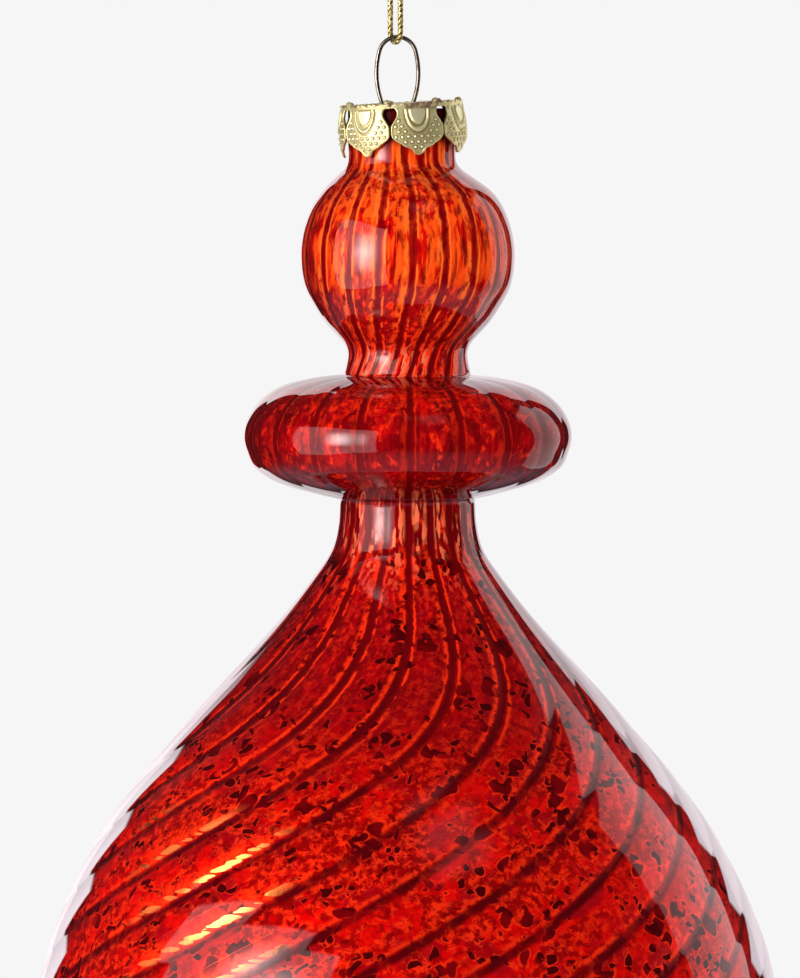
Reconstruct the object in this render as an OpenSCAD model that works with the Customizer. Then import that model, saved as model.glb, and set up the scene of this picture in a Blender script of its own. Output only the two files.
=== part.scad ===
// Blown-glass finial ornament: a fluted ball, a flat collar and a large onion bulb in one
// hollow glass, under a stamped crown cap with a sprung wire hanger and a loop of gold thread.
// The origin is the inside of the wire eye's crown, where the thread bears. +Z is up.

/* [Glass neck and ball] */
// Outside diameter of the glass neck inside the cap
neck_d = 15.1; // [13.6:0.1:15.6]
// Distance from the neck's rim down to its shoulder
neck_len = 7.1; // [6.5:0.1:9]
// Sideways lean of the neck from the glass's axis
neck_lean = 0.77; // [0:0.01:1]
// Diameter of the ball
ball_d = 30.1; // [26:0.1:34]
// Height of the ball's upper half, from the neck's shoulder to its widest place
ball_upper = 13.2; // [11:0.1:16]
// Height of the ball's lower half, from its widest place to the waist
ball_lower = 14; // [12:0.1:17]
// Diameter of the waist below the ball
waist_d = 16.8; // [15:0.1:19]
// Distance from the waist down to the collar
waist_len = 2.9; // [2:0.1:5]

/* [Glass collar and bulb] */
// Diameter of the collar
collar_d = 46.2; // [40:0.1:52]
// Height of the collar
collar_h = 17.4; // [15:0.1:20]
// Diameter of the throat below the collar
throat_d = 19; // [17:0.1:22]
// Diameter of the bulb at its widest place
bulb_d = 107; // [90:0.5:115]
// Distance from the collar's underside down to the bulb's widest place
bulb_drop = 80.7; // [70:0.1:95]
// Height of the rounded end below the bulb's widest place
bulb_end = 46; // [40:0.5:60]
// Thickness of the glass in the valleys between flutes
wall = 1; // [0.8:0.05:1.5]

/* [Flutes] */
// Number of flutes around the glass
flutes = 20; // [12:1:22]
// Depth of the valleys between the flutes
flute_depth = 0.45; // [0.2:0.05:0.8]
// Azimuth of one valley on the ball, to the right of the front
flute_start = 3; // [0:1:18]
// How far the flutes turn over the ball's lower half, in degrees
ball_turn = 20; // [0:1:40]
// How far the flutes turn over the bulb's drop at their full rate, in degrees
bulb_turn = 173.5; // [0:0.5:240]
// Depth below the collar at which the flutes start to turn
turn_start = 15; // [8:0.5:25]
// Distance over which that turn builds up to its full rate
turn_ramp = 19; // [10:0.5:30]

/* [Cap] */
// Diameter of the cap at its top edge
cap_d = 17; // [16.4:0.1:18]
// Bulge of the skirt's radius below the top edge
cap_bulge = 0.4; // [0.2:0.05:0.8]
// Length of the petals from the cap's top to their tips
petal_len = 7.2; // [6.6:0.1:8]
// Number of petals
petals = 7; // [6:1:8]
// Azimuth of the first gap between petals, to the left of the front
gap_start = 11.3; // [0:0.1:50]
// Thickness of the cap's sheet metal
cap_t = 0.3; // [0.2:0.05:0.4]
// Radius of the round head of each teardrop gap
drop_r = 1.05; // [0.7:0.05:1.2]
// Half width of the slit under each teardrop
slit_half = 0.12; // [0.08:0.01:0.3]
// Height that the stamped relief stands out from the skirt
relief = 0.25; // [0.1:0.05:0.4]
// Radius of the knobs around the cap's top edge
knob_r = 0.65; // [0.4:0.05:0.8]
// Tilt of the cap on the neck, in degrees, right side up
cap_tilt = 3; // [0:0.5:4]
// Sideways offset of the cap's centre from the neck's centre
cap_shift = 0.1; // [0:0.05:0.2]

/* [Wire hanger] */
// Diameter of the hanger wire
wire_d = 0.6; // [0.5:0.05:0.8]
// Height of the eye's opening above the cap
eye_h = 8.96; // [8:0.05:10]
// Bend radius of the eye's crown, at the wire's centre line
crown_r = 2.6; // [2.3:0.05:2.8]
// Bend radius of the eye's sides, at the wire's centre line
side_r = 12; // [11:0.5:15]
// Straight foot of each leg against the glass
foot_len = 2.5; // [1.5:0.1:4]
// Distance from the wire eye's middle across to the neck's centre
neck_x = 0.63; // [0.3:0.01:0.9]
// Room between a leg's foot and the glass, and between the cap and the rim
seat_gap = 0.03; // [0.01:0.01:0.1]
// Room around each leg in its slot
slot_gap = 0.2; // [0.1:0.05:0.3]

/* [Thread] */
// Diameter of the hanging thread
thread_d = 0.8; // [0.6:0.05:0.8]
// Diameter of the knot at the top of the thread's loop
knot_d = 2.6; // [2.2:0.1:3.2]

/* [Hidden] */

neck_r = neck_d / 2;
ball_r = ball_d / 2;
waist_r = waist_d / 2;
collar_r = collar_d / 2;
throat_r = throat_d / 2;
bulb_r = bulb_d / 2;
cap_r = cap_d / 2;
wire_r = wire_d / 2;

// Heights, downwards from the wire eye's crown
cap_z = -eye_h;
cap_x = neck_x - cap_shift;
rim_z = cap_z - cap_t * cos(cap_tilt) - (neck_r + cap_shift) * sin(cap_tilt) - seat_gap;
shoulder_z = rim_z - neck_len;
ball_z = shoulder_z - ball_upper;
waist_z = ball_z - ball_lower;
collar_top = waist_z - waist_len;
collar_bottom = collar_top - collar_h;
bulb_z = collar_bottom - bulb_drop;
glass_x = neck_x + neck_lean;

// Shapes between two diameters: [share of the drop, share of the change of radius]
shoulder_form = [[0.09, 0.07], [0.19, 0.28], [0.32, 0.55], [0.49, 0.77], [0.7, 0.92], [0.86, 0.98]];
hip_form = [[0.2, 0.97], [0.36, 0.88], [0.52, 0.7], [0.68, 0.48], [0.8, 0.25], [0.9, 0.07]];
collar_form = [[0.03, 0.32], [0.1, 0.64], [0.22, 0.85], [0.37, 0.97], [0.5, 1], [0.61, 0.97],
    [0.74, 0.89], [0.86, 0.65], [0.95, 0.27]];
bulb_form = [[0.044, 0.005], [0.086, 0.024], [0.1275, 0.073], [0.211, 0.194], [0.377, 0.468],
    [0.544, 0.717], [0.71, 0.8825], [0.87, 0.972]];
collar_foot = 0.5; // how much wider the waist has become where it meets the collar

// Smooth curve through points [radius, height], in n equal steps along it
function chords(p) = [for (i = 0, s = 0; i < len(p);
    s = s + (i < len(p) - 1 ? norm(p[i + 1] - p[i]) : 0), i = i + 1) s];
function slope(p, t, i) = let (a = max(i - 1, 0), b = min(i + 1, len(p) - 1))
    (p[b] - p[a]) / (t[b] - t[a]);
function hermite(p0, m0, p1, m1, h, u) = (2 * u * u * u - 3 * u * u + 1) * p0
    + (u * u * u - 2 * u * u + u) * h * m0 + (3 * u * u - 2 * u * u * u) * p1
    + (u * u * u - u * u) * h * m1;
function span_of(t, s) = max([for (j = [0:len(t) - 2]) if (t[j] <= s + 0.000001) j]);
function smooth(p, n) = let (t = chords(p), total = t[len(t) - 1])
    [for (k = [0:n]) let (s = total * k / n, i = span_of(t, s), h = t[i + 1] - t[i])
        hermite(p[i], slope(p, t, i), p[i + 1], slope(p, t, i + 1), h, (s - t[i]) / h)];
function ease(x) = let (u = min(max(x, 0), 1)) u * u * (3 - 2 * u);

// Outline of the glass, [radius, height], from the rim to the pole
function neck_ball(n) = smooth(concat(
    [[neck_r, rim_z], [neck_r, rim_z - neck_len / 2], [neck_r, shoulder_z]],
    [for (f = shoulder_form) [neck_r + (ball_r - neck_r) * f[1], shoulder_z - ball_upper * f[0]]],
    [[ball_r, ball_z]],
    [for (f = hip_form) [waist_r + (ball_r - waist_r) * f[1], ball_z - ball_lower * f[0]]],
    [[waist_r, waist_z], [waist_r + collar_foot, collar_top]]), n);
function collar(n) = smooth(concat(
    [[waist_r + collar_foot, collar_top]],
    [for (f = collar_form) let (from = f[0] < 0.5 ? waist_r + collar_foot : throat_r)
        [from + (collar_r - from) * f[1], collar_top - collar_h * f[0]]],
    [[throat_r, collar_bottom]]), n);
function bulb(n) = smooth(concat(
    [[throat_r, collar_bottom]],
    [for (f = bulb_form) [throat_r + (bulb_r - throat_r) * f[1], collar_bottom - bulb_drop * f[0]]],
    [[bulb_r, bulb_z]]), n);
function end(n) = [for (k = [0:n]) let (a = 90 * k / n)
    [bulb_r * cos(a), bulb_z - bulb_end * sin(a)]];
function tail(p) = [for (i = [1:len(p) - 1]) p[i]];
function outline(a, b, c, d) = concat(neck_ball(a), tail(collar(b)), tail(bulb(c)), tail(end(d)));

// Outward normal of an outline at point i
function outward(p, i) = let (a = p[max(i - 1, 0)], b = p[min(i + 1, len(p) - 1)], d = b - a)
    [-d[1], d[0]] / norm(d);
function inset(p, i, depth) = i == 0 ? p[0] - [depth, 0]
    : i == len(p) - 1 ? p[i] + [0, depth] : p[i] - outward(p, i) * depth;

// Turn of the flutes at height z, and how deep they are there
function built_up(x) = x < 0 ? 0 : x < turn_ramp ? x * x / (2 * turn_ramp) : x - turn_ramp / 2;
function turn_at(z) = flute_start - ball_turn * pow(min(max(ball_z - z, 0) / (ball_lower + waist_len), 1), 2)
    - bulb_turn / bulb_drop * built_up(collar_bottom - z - turn_start);
function depth_at(p) = flute_depth * ease((rim_z - p[1]) / neck_len) * ease(p[0] / throat_r);
function lean_at(z) = glass_x - neck_lean * ease((z - shoulder_z + ball_upper * 0.4) / (ball_upper * 0.4));

// A point of the glass at azimuth a from the front, on the outline's point q
function on_glass(q, a) = [lean_at(q[1]) + q[0] * sin(a), -q[0] * cos(a), q[1]];

facets = 4; // steps across one flute
columns = flutes * facets;
outer = outline(13, 11, 19, 9);
inner = outline(9, 7, 8, 5);
rows_out = len(outer) - 1; // the pole is one point
rows_in = len(inner) - 1;

// Outer skin: each flute is a shallow round lobe between two sharp valleys
function outer_point(i, j) = let (p = outer[i], u = (j % facets) / facets)
    on_glass(p - outward(outer, i) * depth_at(p) * (1 - sin(180 * u)),
        turn_at(p[1]) + 360 * j / columns);
function inner_point(i, j) = on_glass(inset(inner, i, wall + flute_depth), 90 + 720 * j / columns);

module glass_body() {
    half = columns / 2;
    first_in = rows_out * columns + 1;
    pole_out = rows_out * columns;
    pole_in = first_in + rows_in * half;
    points = concat(
        [for (i = [0:rows_out - 1], j = [0:columns - 1]) outer_point(i, j)],
        [on_glass([0, outer[rows_out][1]], 0)],
        [for (i = [0:rows_in - 1], j = [0:half - 1]) inner_point(i, j)],
        [on_glass([0, inner[rows_in][1] + wall + flute_depth], 0)]);
    skin_out = [for (i = [0:rows_out - 2], j = [0:columns - 1])
        let (a = i * columns + j, b = i * columns + (j + 1) % columns)
        each [[a, b, b + columns], [a, b + columns, a + columns]]];
    skin_in = [for (i = [0:rows_in - 2], j = [0:half - 1])
        let (a = first_in + i * half + j, b = first_in + i * half + (j + 1) % half)
        each [[a, b + half, b], [a, a + half, b + half]]];
    ends = [for (j = [0:columns - 1]) let (a = (rows_out - 1) * columns)
        [a + j, a + (j + 1) % columns, pole_out]];
    ends_in = [for (j = [0:half - 1]) let (a = first_in + (rows_in - 1) * half)
        [a + j, pole_in, a + (j + 1) % half]];
    color([0.72, 0.04, 0.02])
        polyhedron(points, concat(skin_out, skin_in, ends, ends_in, rim_faces(first_in, half)));
}

// Flat rim between the outer skin's first row and the inner skin's, which starts at 90 degrees
function rim_faces(first_in, half) = let (shift = round((90 - turn_at(rim_z)) * columns / 360))
    [for (j = [0:half - 1])
        let (o0 = (2 * j + shift) % columns, o1 = (o0 + 1) % columns, o2 = (o0 + 2) % columns,
            i0 = first_in + j, i1 = first_in + (j + 1) % half)
        each [[o0, i0, o1], [o1, i0, i1], [o1, i1, o2]]];

// Cap: a thin bell whose skirt is cut into petals. Its section is one closed outline, with
// the plate across the top, a rolled edge round it and the flared skirt.
skirt_form = [[0, 0], [0.1, 0.35], [0.36, 1], [0.62, 1], [0.82, 0.4], [1, -0.6]];
roll_r = cap_t * 0.9;
skirt_len = petal_len * 1.05; // a little past the tips, so that the gaps' edges form them
function skirt(out) = smooth([for (s = skirt_form)
    [cap_r + cap_bulge * s[1] + out, -cap_t * 1.5 - (skirt_len - cap_t * 1.5) * s[0]]], 12);
function reversed(p) = [for (i = [len(p) - 1:-1:0]) p[i]];
function rolled_edge() = [for (a = [150:-30:-30])
    [cap_r - roll_r * 0.7 + roll_r * cos(a), -cap_t * 0.5 + roll_r * sin(a)]];

module bell() {
    rotate_extrude($fn = 96)
        polygon(concat([[0, -cap_t], [0, 0]], rolled_edge(), skirt(0), reversed(skirt(-cap_t)),
            [[cap_r - cap_t, -cap_t]]));
}

module relief_shell() {
    rotate_extrude($fn = 96)
        polygon(concat(skirt(relief), reversed(skirt(-cap_t / 2))));
}

// Half of a gap between petals: [distance from its middle, share of the petal's length]
lobe_form = [[0.35, 0.65], [0.98, 0.73], [1.8, 0.79], [2.6, 0.81], [3, 0.86], [3.3, 0.95], [3.6, 1]];
lobe_reach = 3.6;
slit_end = 0.6;
drop_end = 0.45;

function gap_half() = let (spread = (cap_r + cap_bulge) * sin(180 / petals) / lobe_reach * 0.925)
    concat(
        [for (a = [90:-15:-30]) [drop_r * cos(a), drop_r * sin(a) - cap_t - drop_r]],
        [[slit_half, -petal_len * drop_end], [slit_half, -petal_len * slit_end]],
        [for (f = lobe_form) [f[0] * spread, -petal_len * f[1]]],
        [[lobe_reach * 1.25, -petal_len * 1.03], [lobe_reach * 1.25, -petal_len * 1.3]]);

module gap_outline() {
    right = gap_half();
    polygon(concat(right, [for (i = [len(right) - 1:-1:1]) [-right[i][0], right[i][1]]]));
}

// Places its children upright on the skirt at azimuth a from the front, facing outwards
module on_skirt(a) {
    rotate([0, 0, a])
        translate([0, -cap_r * 0.7, 0])
            rotate([90, 0, 0])
                linear_extrude(cap_r * 0.5)
                    children();
}

shield_w = 2.4;
shield_top = 0.1;
shield_h = 3.4;
shield_rim = 0.42;

module shield(grow) {
    half = shield_w / 2 - grow;
    top = -petal_len * shield_top - grow;
    low = top + grow - shield_h + half + grow;
    polygon(concat([[half, top], [half, low]],
        [for (a = [-15:-15:-165]) [half * cos(a), low + half * 1.15 * sin(a)]],
        [[-half, low], [-half, top]]));
}

// The bell with the gaps cut out one after another
module petalled_bell(k = 0) {
    if (k == petals)
        bell();
    else
        difference() {
            petalled_bell(k + 1);
            on_skirt(k * 360 / petals - gap_start)
                gap_outline();
        }
}

module stamped_shield(a) {
    intersection() {
        relief_shell();
        on_skirt(a)
            difference() {
                shield(0);
                shield(shield_rim);
            }
    }
}

// The upper part of a ball, down to the underside of the cap's top
module knob(a) {
    rotate([0, 0, a])
        translate([0, knob_r - cap_r, 0])
            difference() {
                sphere(r = knob_r, $fn = 32);
                translate([0, 0, -knob_r - cap_t])
                    cube(2 * knob_r, center = true);
            }
}

module leg_slot(side) {
    translate([side * leg_x, 0, cap_z])
        cube([leg_slot_len, wire_d + 2 * slot_gap, 6 * cap_t], center = true);
}

module cap() {
    pitch = 360 / petals;
    color([0.85, 0.78, 0.5])
        difference() {
            translate([cap_x, 0, cap_z])
                rotate([0, -cap_tilt, 0]) {
                    petalled_bell();
                    for (k = [0:petals - 1]) {
                        stamped_shield((k + 0.5) * pitch - gap_start);
                        knob(k * pitch - gap_start);
                    }
                }
            leg_slot(-1);
            leg_slot(1);
        }
}

// Wire hanger: each half is a chain of bends, its heading 0 level, 90 straight down
crown_turn = 75;
plate_run = cap_t * 3; // straight stretch through the cap's slot
spring_r = 1.5; // bends that spread the legs inside the neck
spread_turn = 40; // heading of the spread stretch
drop_left = eye_h + wire_r - crown_r * (1 - cos(crown_turn));
lean_in = acos(cos(crown_turn) - drop_left / side_r); // heading at the cap
leg_x = crown_r * sin(crown_turn) + side_r * (sin(lean_in) - sin(crown_turn));
leg_slot_len = wire_d + 2 * slot_gap + plate_run;
inner_r = neck_r - wall - flute_depth;
foot_x = leg_x + plate_run * cos(lean_in) + spring_r * (sin(lean_in) - sin(spread_turn))
    + spring_r * (1 - sin(spread_turn));

// Each step is [bend radius, heading after it], or [0, length] for a straight stretch
function bends(side) = [
    [crown_r, crown_turn],
    [side_r, lean_in],
    [0, plate_run],
    [-spring_r, spread_turn],
    [0, (inner_r + side * neck_x - wire_r - seat_gap - foot_x) / cos(spread_turn)],
    [spring_r, 90],
    [0, foot_len]];
function trace(steps, i = 0, x = 0, z = wire_r, h = 0) = i == len(steps) ? [] :
    let (r = steps[i][0], to = steps[i][1], n = ceil(abs(to - h) / 12))
    r == 0 ? concat([[x + to * cos(h), 0, z - to * sin(h)]],
        trace(steps, i + 1, x + to * cos(h), z - to * sin(h), h))
    : concat([for (k = [1:n]) let (a = h + (to - h) * k / n)
            [x + r * (sin(a) - sin(h)), 0, z - r * (cos(h) - cos(a))]],
        trace(steps, i + 1, x + r * (sin(to) - sin(h)), z - r * (cos(h) - cos(to)), to));

module hanger_wire() {
    left = [for (p = reversed(trace(bends(-1)))) [-p[0], p[1], p[2]]];
    color([0.35, 0.3, 0.25])
        tube(concat(left, [[0, 0, wire_r]], trace(bends(1))), wire_r, 12, [0, 1, 0]);
}

// Thread: up behind the wire, under its crown, and up in front, to the knot
thread_path = [[-0.45, 0, 29], [-0.45, 0, 28.2], [-0.6, 0.3, 26.5], [-0.85, 0.8, 22],
    [-1, 1.2, 16], [-1.05, 1.4, 10], [-1, 1.5, 6], [-0.98, 1.5, 3.5], [-0.98, 1.5, 1.25],
    [-0.93, 1.39, 0.6], [-0.78, 1.06, 0.06], [-0.55, 0.57, -0.3], [-0.28, 0, -0.43],
    [-0.01, -0.57, -0.3], [0.22, -1.06, 0.06], [0.37, -1.39, 0.6], [0.42, -1.5, 1.25],
    [0.42, -1.5, 3.5], [0.42, -1.5, 6], [0.42, -1.4, 10], [0.4, -1.2, 16], [0.4, -0.8, 22],
    [0.42, -0.3, 26.5], [0.45, 0, 28.2], [0.45, 0, 29]];
thread_top = thread_path[0][2];

// Ring of points around the path's point i, square to it; across is the side it starts from
function unit(v) = v / norm(v);
function ring(p, i, r, sides, across) = let (n = len(p),
        d = unit(p[min(i + 1, n - 1)] - p[max(i - 1, 0)]),
        u = unit(across - (across * d) * d), v = cross(d, u))
    [for (k = [0:sides - 1]) p[i] + r * (cos(360 * k / sides) * u + sin(360 * k / sides) * v)];

module tube(p, r, sides, across) {
    n = len(p);
    polyhedron([for (i = [0:n - 1]) each ring(p, i, r, sides, across)], concat(
        [[for (k = [0:sides - 1]) k]],
        [for (i = [0:n - 2], k = [0:sides - 1])
            let (a = i * sides + k, b = i * sides + (k + 1) % sides)
            each [[a, a + sides, b + sides], [a, b + sides, b]]],
        [[for (k = [sides - 1:-1:0]) (n - 1) * sides + k]]));
}

module hanging_cord() {
    color([0.8, 0.66, 0.3])
        tube(thread_path, thread_d / 2, 8, [1, 0.5, 0]);
}

tail_len = 4;
tail_lean = 14;

module cord_knot() {
    knot_r = knot_d / 2;
    color([0.8, 0.66, 0.3])
        translate([0, 0, thread_top]) {
            rotate_extrude($fn = 48)
                polygon([[0, 0], [knot_r * 0.8, 0], [knot_r, knot_r * 0.4], [knot_r, knot_r * 1.1],
                    [knot_r * 0.8, knot_r * 1.5], [0, knot_r * 1.5]]);
            for (side = [-1, 1])
                translate([side * thread_d * 0.6, 0, knot_r])
                    rotate([0, side * tail_lean, 0])
                        cylinder(h = tail_len, r = thread_d / 2, $fn = 24);
        }
}

glass_body();
cap();
hanger_wire();
hanging_cord();
cord_knot();
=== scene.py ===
import math
import bpy
import numpy as np
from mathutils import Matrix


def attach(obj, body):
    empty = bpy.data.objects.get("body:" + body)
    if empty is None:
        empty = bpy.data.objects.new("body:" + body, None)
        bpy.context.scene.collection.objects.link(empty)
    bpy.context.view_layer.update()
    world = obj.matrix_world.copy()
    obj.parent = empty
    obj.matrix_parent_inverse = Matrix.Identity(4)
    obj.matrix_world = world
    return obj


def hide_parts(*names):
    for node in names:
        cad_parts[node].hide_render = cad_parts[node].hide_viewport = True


# Hanging glass finial ornament, in metres. The origin is inside the crown of the wire eye,
# where the thread bears, and the photograph looks along +Y.
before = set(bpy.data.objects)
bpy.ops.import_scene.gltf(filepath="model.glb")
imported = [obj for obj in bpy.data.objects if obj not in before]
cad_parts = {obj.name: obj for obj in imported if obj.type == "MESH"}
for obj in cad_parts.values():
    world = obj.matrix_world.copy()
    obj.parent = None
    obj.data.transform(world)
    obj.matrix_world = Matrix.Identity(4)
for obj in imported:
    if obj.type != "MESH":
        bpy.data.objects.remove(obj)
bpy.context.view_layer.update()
mm = 0.001
print("frame loaded")


# Camera, at the photograph's angle and frame
camera = {"target": (0.00035, 0.0, -0.0629), "elevation": 3.0, "distance": 1.25, "seenHeight": 0.1369}


def makeCamera():
    # the long side of an 800 x 978 picture is its height, so the lens gives that height at the object
    lens = bpy.data.cameras.new("photoCamera")
    lens.sensor_width = 36.0
    lens.lens = 36.0 * camera["distance"] / camera["seenHeight"]
    lens.clip_start, lens.clip_end = 0.05, 30.0
    holder = bpy.data.objects.new("photoCamera", lens)
    tilt = math.radians(camera["elevation"])
    x, y, z = camera["target"]
    holder.location = (x, y - camera["distance"] * math.cos(tilt), z + camera["distance"] * math.sin(tilt))
    holder.rotation_euler = (math.pi / 2 - tilt, 0.0, 0.0)
    bpy.context.scene.collection.objects.link(holder)
    bpy.context.scene.camera = holder


makeCamera()
print("camera placed")


# Shader maths on a node's output
class Signal:
    def __init__(self, tree, socket):
        self.tree, self.socket = tree, socket

    def add(self, kind, feeds=None, out=0, **settings):
        # any other node: feeds go to its inputs by name or number, settings are its properties
        node = self.tree.nodes.new(kind)
        for name, value in settings.items():
            setattr(node, name, value)
        for place, value in (feeds or {}).items():
            if isinstance(value, Signal):
                self.tree.links.new(value.socket, node.inputs[place])
            else:
                node.inputs[place].default_value = value
        return Signal(self.tree, node.outputs[out] if len(node.outputs) else None)

    def maths(self, operation, *others):
        return self.add("ShaderNodeMath", dict(enumerate((self,) + others)), operation=operation)

    def __add__(self, other):
        return self.maths("ADD", other)

    __radd__ = __add__

    def __sub__(self, other):
        return self.maths("SUBTRACT", other)

    def __rsub__(self, other):
        return self.maths("MULTIPLY_ADD", -1.0, other)

    def __mul__(self, other):
        return self.maths("MULTIPLY", other)

    __rmul__ = __mul__

    def __truediv__(self, other):
        return self.maths("DIVIDE", other)

    def __rtruediv__(self, other):
        return self.maths("POWER", -1.0) * other

    def __pow__(self, other):
        return self.maths("POWER", other)

    def rise(self, low, high):
        # smooth step from 0 at low to 1 at high, also where high is the smaller
        return self.add("ShaderNodeMapRange", {"Value": self, "From Min": low, "From Max": high},
                        interpolation_type="SMOOTHSTEP")

    def blend(self, first, second):
        # colour between first and second, with this signal as the share of the second
        return self.add("ShaderNodeMix", {0: self, 6: first, 7: second}, out=2, data_type="RGBA")

    def scaled(self, x, y, z):
        return self.add("ShaderNodeVectorMath", {0: self, 1: (x, y, z)}, operation="MULTIPLY")

    def moved(self, other, share):
        # vector plus share times another vector
        return self.add("ShaderNodeVectorMath", {0: other, 1: (share, share, share), 2: self},
                        operation="MULTIPLY_ADD")

    def noise(self, scale, detail=2.0, rough=0.5, out="Fac"):
        return self.add("ShaderNodeTexNoise", {"Vector": self, "Scale": scale, "Detail": detail,
                                               "Roughness": rough}, out=out)

    def cells(self, scale, feature="F1", out="Distance"):
        return self.add("ShaderNodeTexVoronoi", {"Vector": self, "Scale": scale}, out=out, feature=feature)

    def part(self, name):
        return self.add("ShaderNodeSeparateXYZ", {0: self}, out=name)


def surface(name, **constants):
    # a material with one Principled shader; constants are set on its own sockets
    material = bpy.data.materials.new(name)
    material.use_nodes = True
    tree = material.node_tree
    shader = tree.nodes["Principled BSDF"]
    for place, value in constants.items():
        shader.inputs[place.replace("_", " ")].default_value = value
    start = Signal(tree, tree.nodes.new("ShaderNodeTexCoord").outputs["Object"])

    def feed(**signals):
        for place, value in signals.items():
            tree.links.new(value.socket, shader.inputs[place.replace("_", " ")])
    return material, start, feed


def attribute(start, name, out="Vector"):
    return start.add("ShaderNodeAttribute", out=out, attribute_name=name)


def bump(height, strength, distance):
    return height.add("ShaderNodeBump", {"Height": height, "Strength": strength, "Distance": distance})


# Grid surfaces
def gridFaces(rows, columns, wrap=True, first=0):
    # quads between neighbouring rows; with wrap the last column joins the first
    i, j = np.meshgrid(np.arange(rows - 1), np.arange(columns if wrap else columns - 1), indexing="ij")
    a = first + i * columns + j
    b = first + i * columns + (j + 1) % columns
    return np.stack([a, b, b + columns, a + columns], -1).reshape(-1, 4)


def fan(first, count, tip):
    # triangles from a ring of points to the one at its tip
    j = np.arange(count)
    return np.stack([first + j, first + (j + 1) % count, np.full(count, tip)], -1)


def turned(radius, angle, z):
    # points round the axis, at an angle from the front: x is r sin a and y is -r cos a
    return np.stack(np.broadcast_arrays(radius * np.sin(angle), -radius * np.cos(angle), z), -1)


def makeMesh(name, points, quads, triangles=(), attributes=None, smooth=True):
    mesh = bpy.data.meshes.new(name)
    quads, triangles = np.asarray(quads, np.int32).reshape(-1, 4), np.asarray(triangles, np.int32).reshape(-1, 3)
    corners = np.concatenate([quads.ravel(), triangles.ravel()])
    sizes = np.concatenate([np.full(len(quads), 4), np.full(len(triangles), 3)])
    starts = np.concatenate([[0], np.cumsum(sizes)[:-1]])
    mesh.vertices.add(len(points))
    mesh.vertices.foreach_set("co", np.asarray(points, np.float32).ravel())
    mesh.loops.add(len(corners))
    mesh.loops.foreach_set("vertex_index", corners.astype(np.int32))
    mesh.polygons.add(len(sizes))
    mesh.polygons.foreach_set("loop_start", starts.astype(np.int32))
    mesh.polygons.foreach_set("use_smooth", np.full(len(sizes), smooth))
    mesh.update(calc_edges=True)
    for key, values in (attributes or {}).items():
        values = np.asarray(values, np.float32)
        kind, place = ("FLOAT_VECTOR", "vector") if values.ndim == 2 else ("FLOAT", "value")
        mesh.attributes.new(key, kind, "POINT").data.foreach_set(place, values.ravel())
    mesh.validate()
    piece = bpy.data.objects.new(name, mesh)
    bpy.context.scene.collection.objects.link(piece)
    return piece


def unit(v):
    return v / np.linalg.norm(v, axis=-1, keepdims=True)


def sweep(path, profile, across):
    # a point at angle u and length s is the path's point plus radius(u, s) times (cos u side + sin u other),
    # where side and other stand square to the path
    step = np.linalg.norm(np.diff(path, axis=0), axis=1)
    length = np.concatenate([[0.0], np.cumsum(step)])
    along = unit(np.gradient(path, axis=0))
    side = unit(across - (along @ across)[:, None] * along)
    other = np.cross(along, side)
    u = np.linspace(0, 2 * math.pi, profile["around"], endpoint=False)
    radius = profile["radius"](u[None, :], length[:, None])
    points = path[:, None] + radius[..., None] * (np.cos(u)[None, :, None] * side[:, None]
                                                  + np.sin(u)[None, :, None] * other[:, None])
    return points.reshape(-1, 3), u, length


def strand(name, path, profile, across):
    # a tube along a path in millimetres with a fan over each end; strandCoords run round it and along it,
    # and ply, where the profile has one, is 1 on the plies and 0 between them
    points, u, length = sweep(path, profile, np.array(across, float))
    n, m = len(path), profile["around"]
    points = np.concatenate([points, path[:1], path[-1:]])
    ends = np.concatenate([fan(0, m, n * m)[:, ::-1], fan((n - 1) * m, m, n * m + 1)])
    coords = [profile["half"] * np.cos(u)[None], profile["half"] * np.sin(u)[None], length[:, None]]
    coords = np.stack(np.broadcast_arrays(*coords), -1).reshape(-1, 3)
    tells = {"strandCoords": np.concatenate([coords, coords[:1], coords[-1:]])}
    if "ply" in profile:
        tells["ply"] = np.append(profile["ply"](u[None, :], length[:, None]).ravel(), [0.5, 0.5])
    return makeMesh(name, points * mm, gridFaces(n, m), ends, tells)


def smoothThrough(points, count):
    # chord-length Hermite curve through the points, in count equal steps
    points = np.asarray(points, float)
    t = np.concatenate([[0.0], np.cumsum(np.linalg.norm(np.diff(points, axis=0), axis=1))])
    before = np.maximum(np.arange(len(t)) - 1, 0)
    after = np.minimum(np.arange(len(t)) + 1, len(t) - 1)
    slope = (points[after] - points[before]) / (t[after] - t[before])[:, None]
    s = np.linspace(0.0, t[-1], count + 1)
    i = np.clip(np.searchsorted(t, s, "right") - 1, 0, len(t) - 2)
    h = (t[i + 1] - t[i])[:, None]
    u = ((s - t[i]) / (t[i + 1] - t[i]))[:, None]
    return ((2 * u ** 3 - 3 * u ** 2 + 1) * points[i] + (u ** 3 - 2 * u ** 2 + u) * h * slope[i]
            + (3 * u ** 2 - 2 * u ** 3) * points[i + 1] + (u ** 3 - u ** 2) * h * slope[i + 1])


def ease(x):
    u = np.clip(x, 0.0, 1.0)
    return u * u * (3 - 2 * u)


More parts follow.
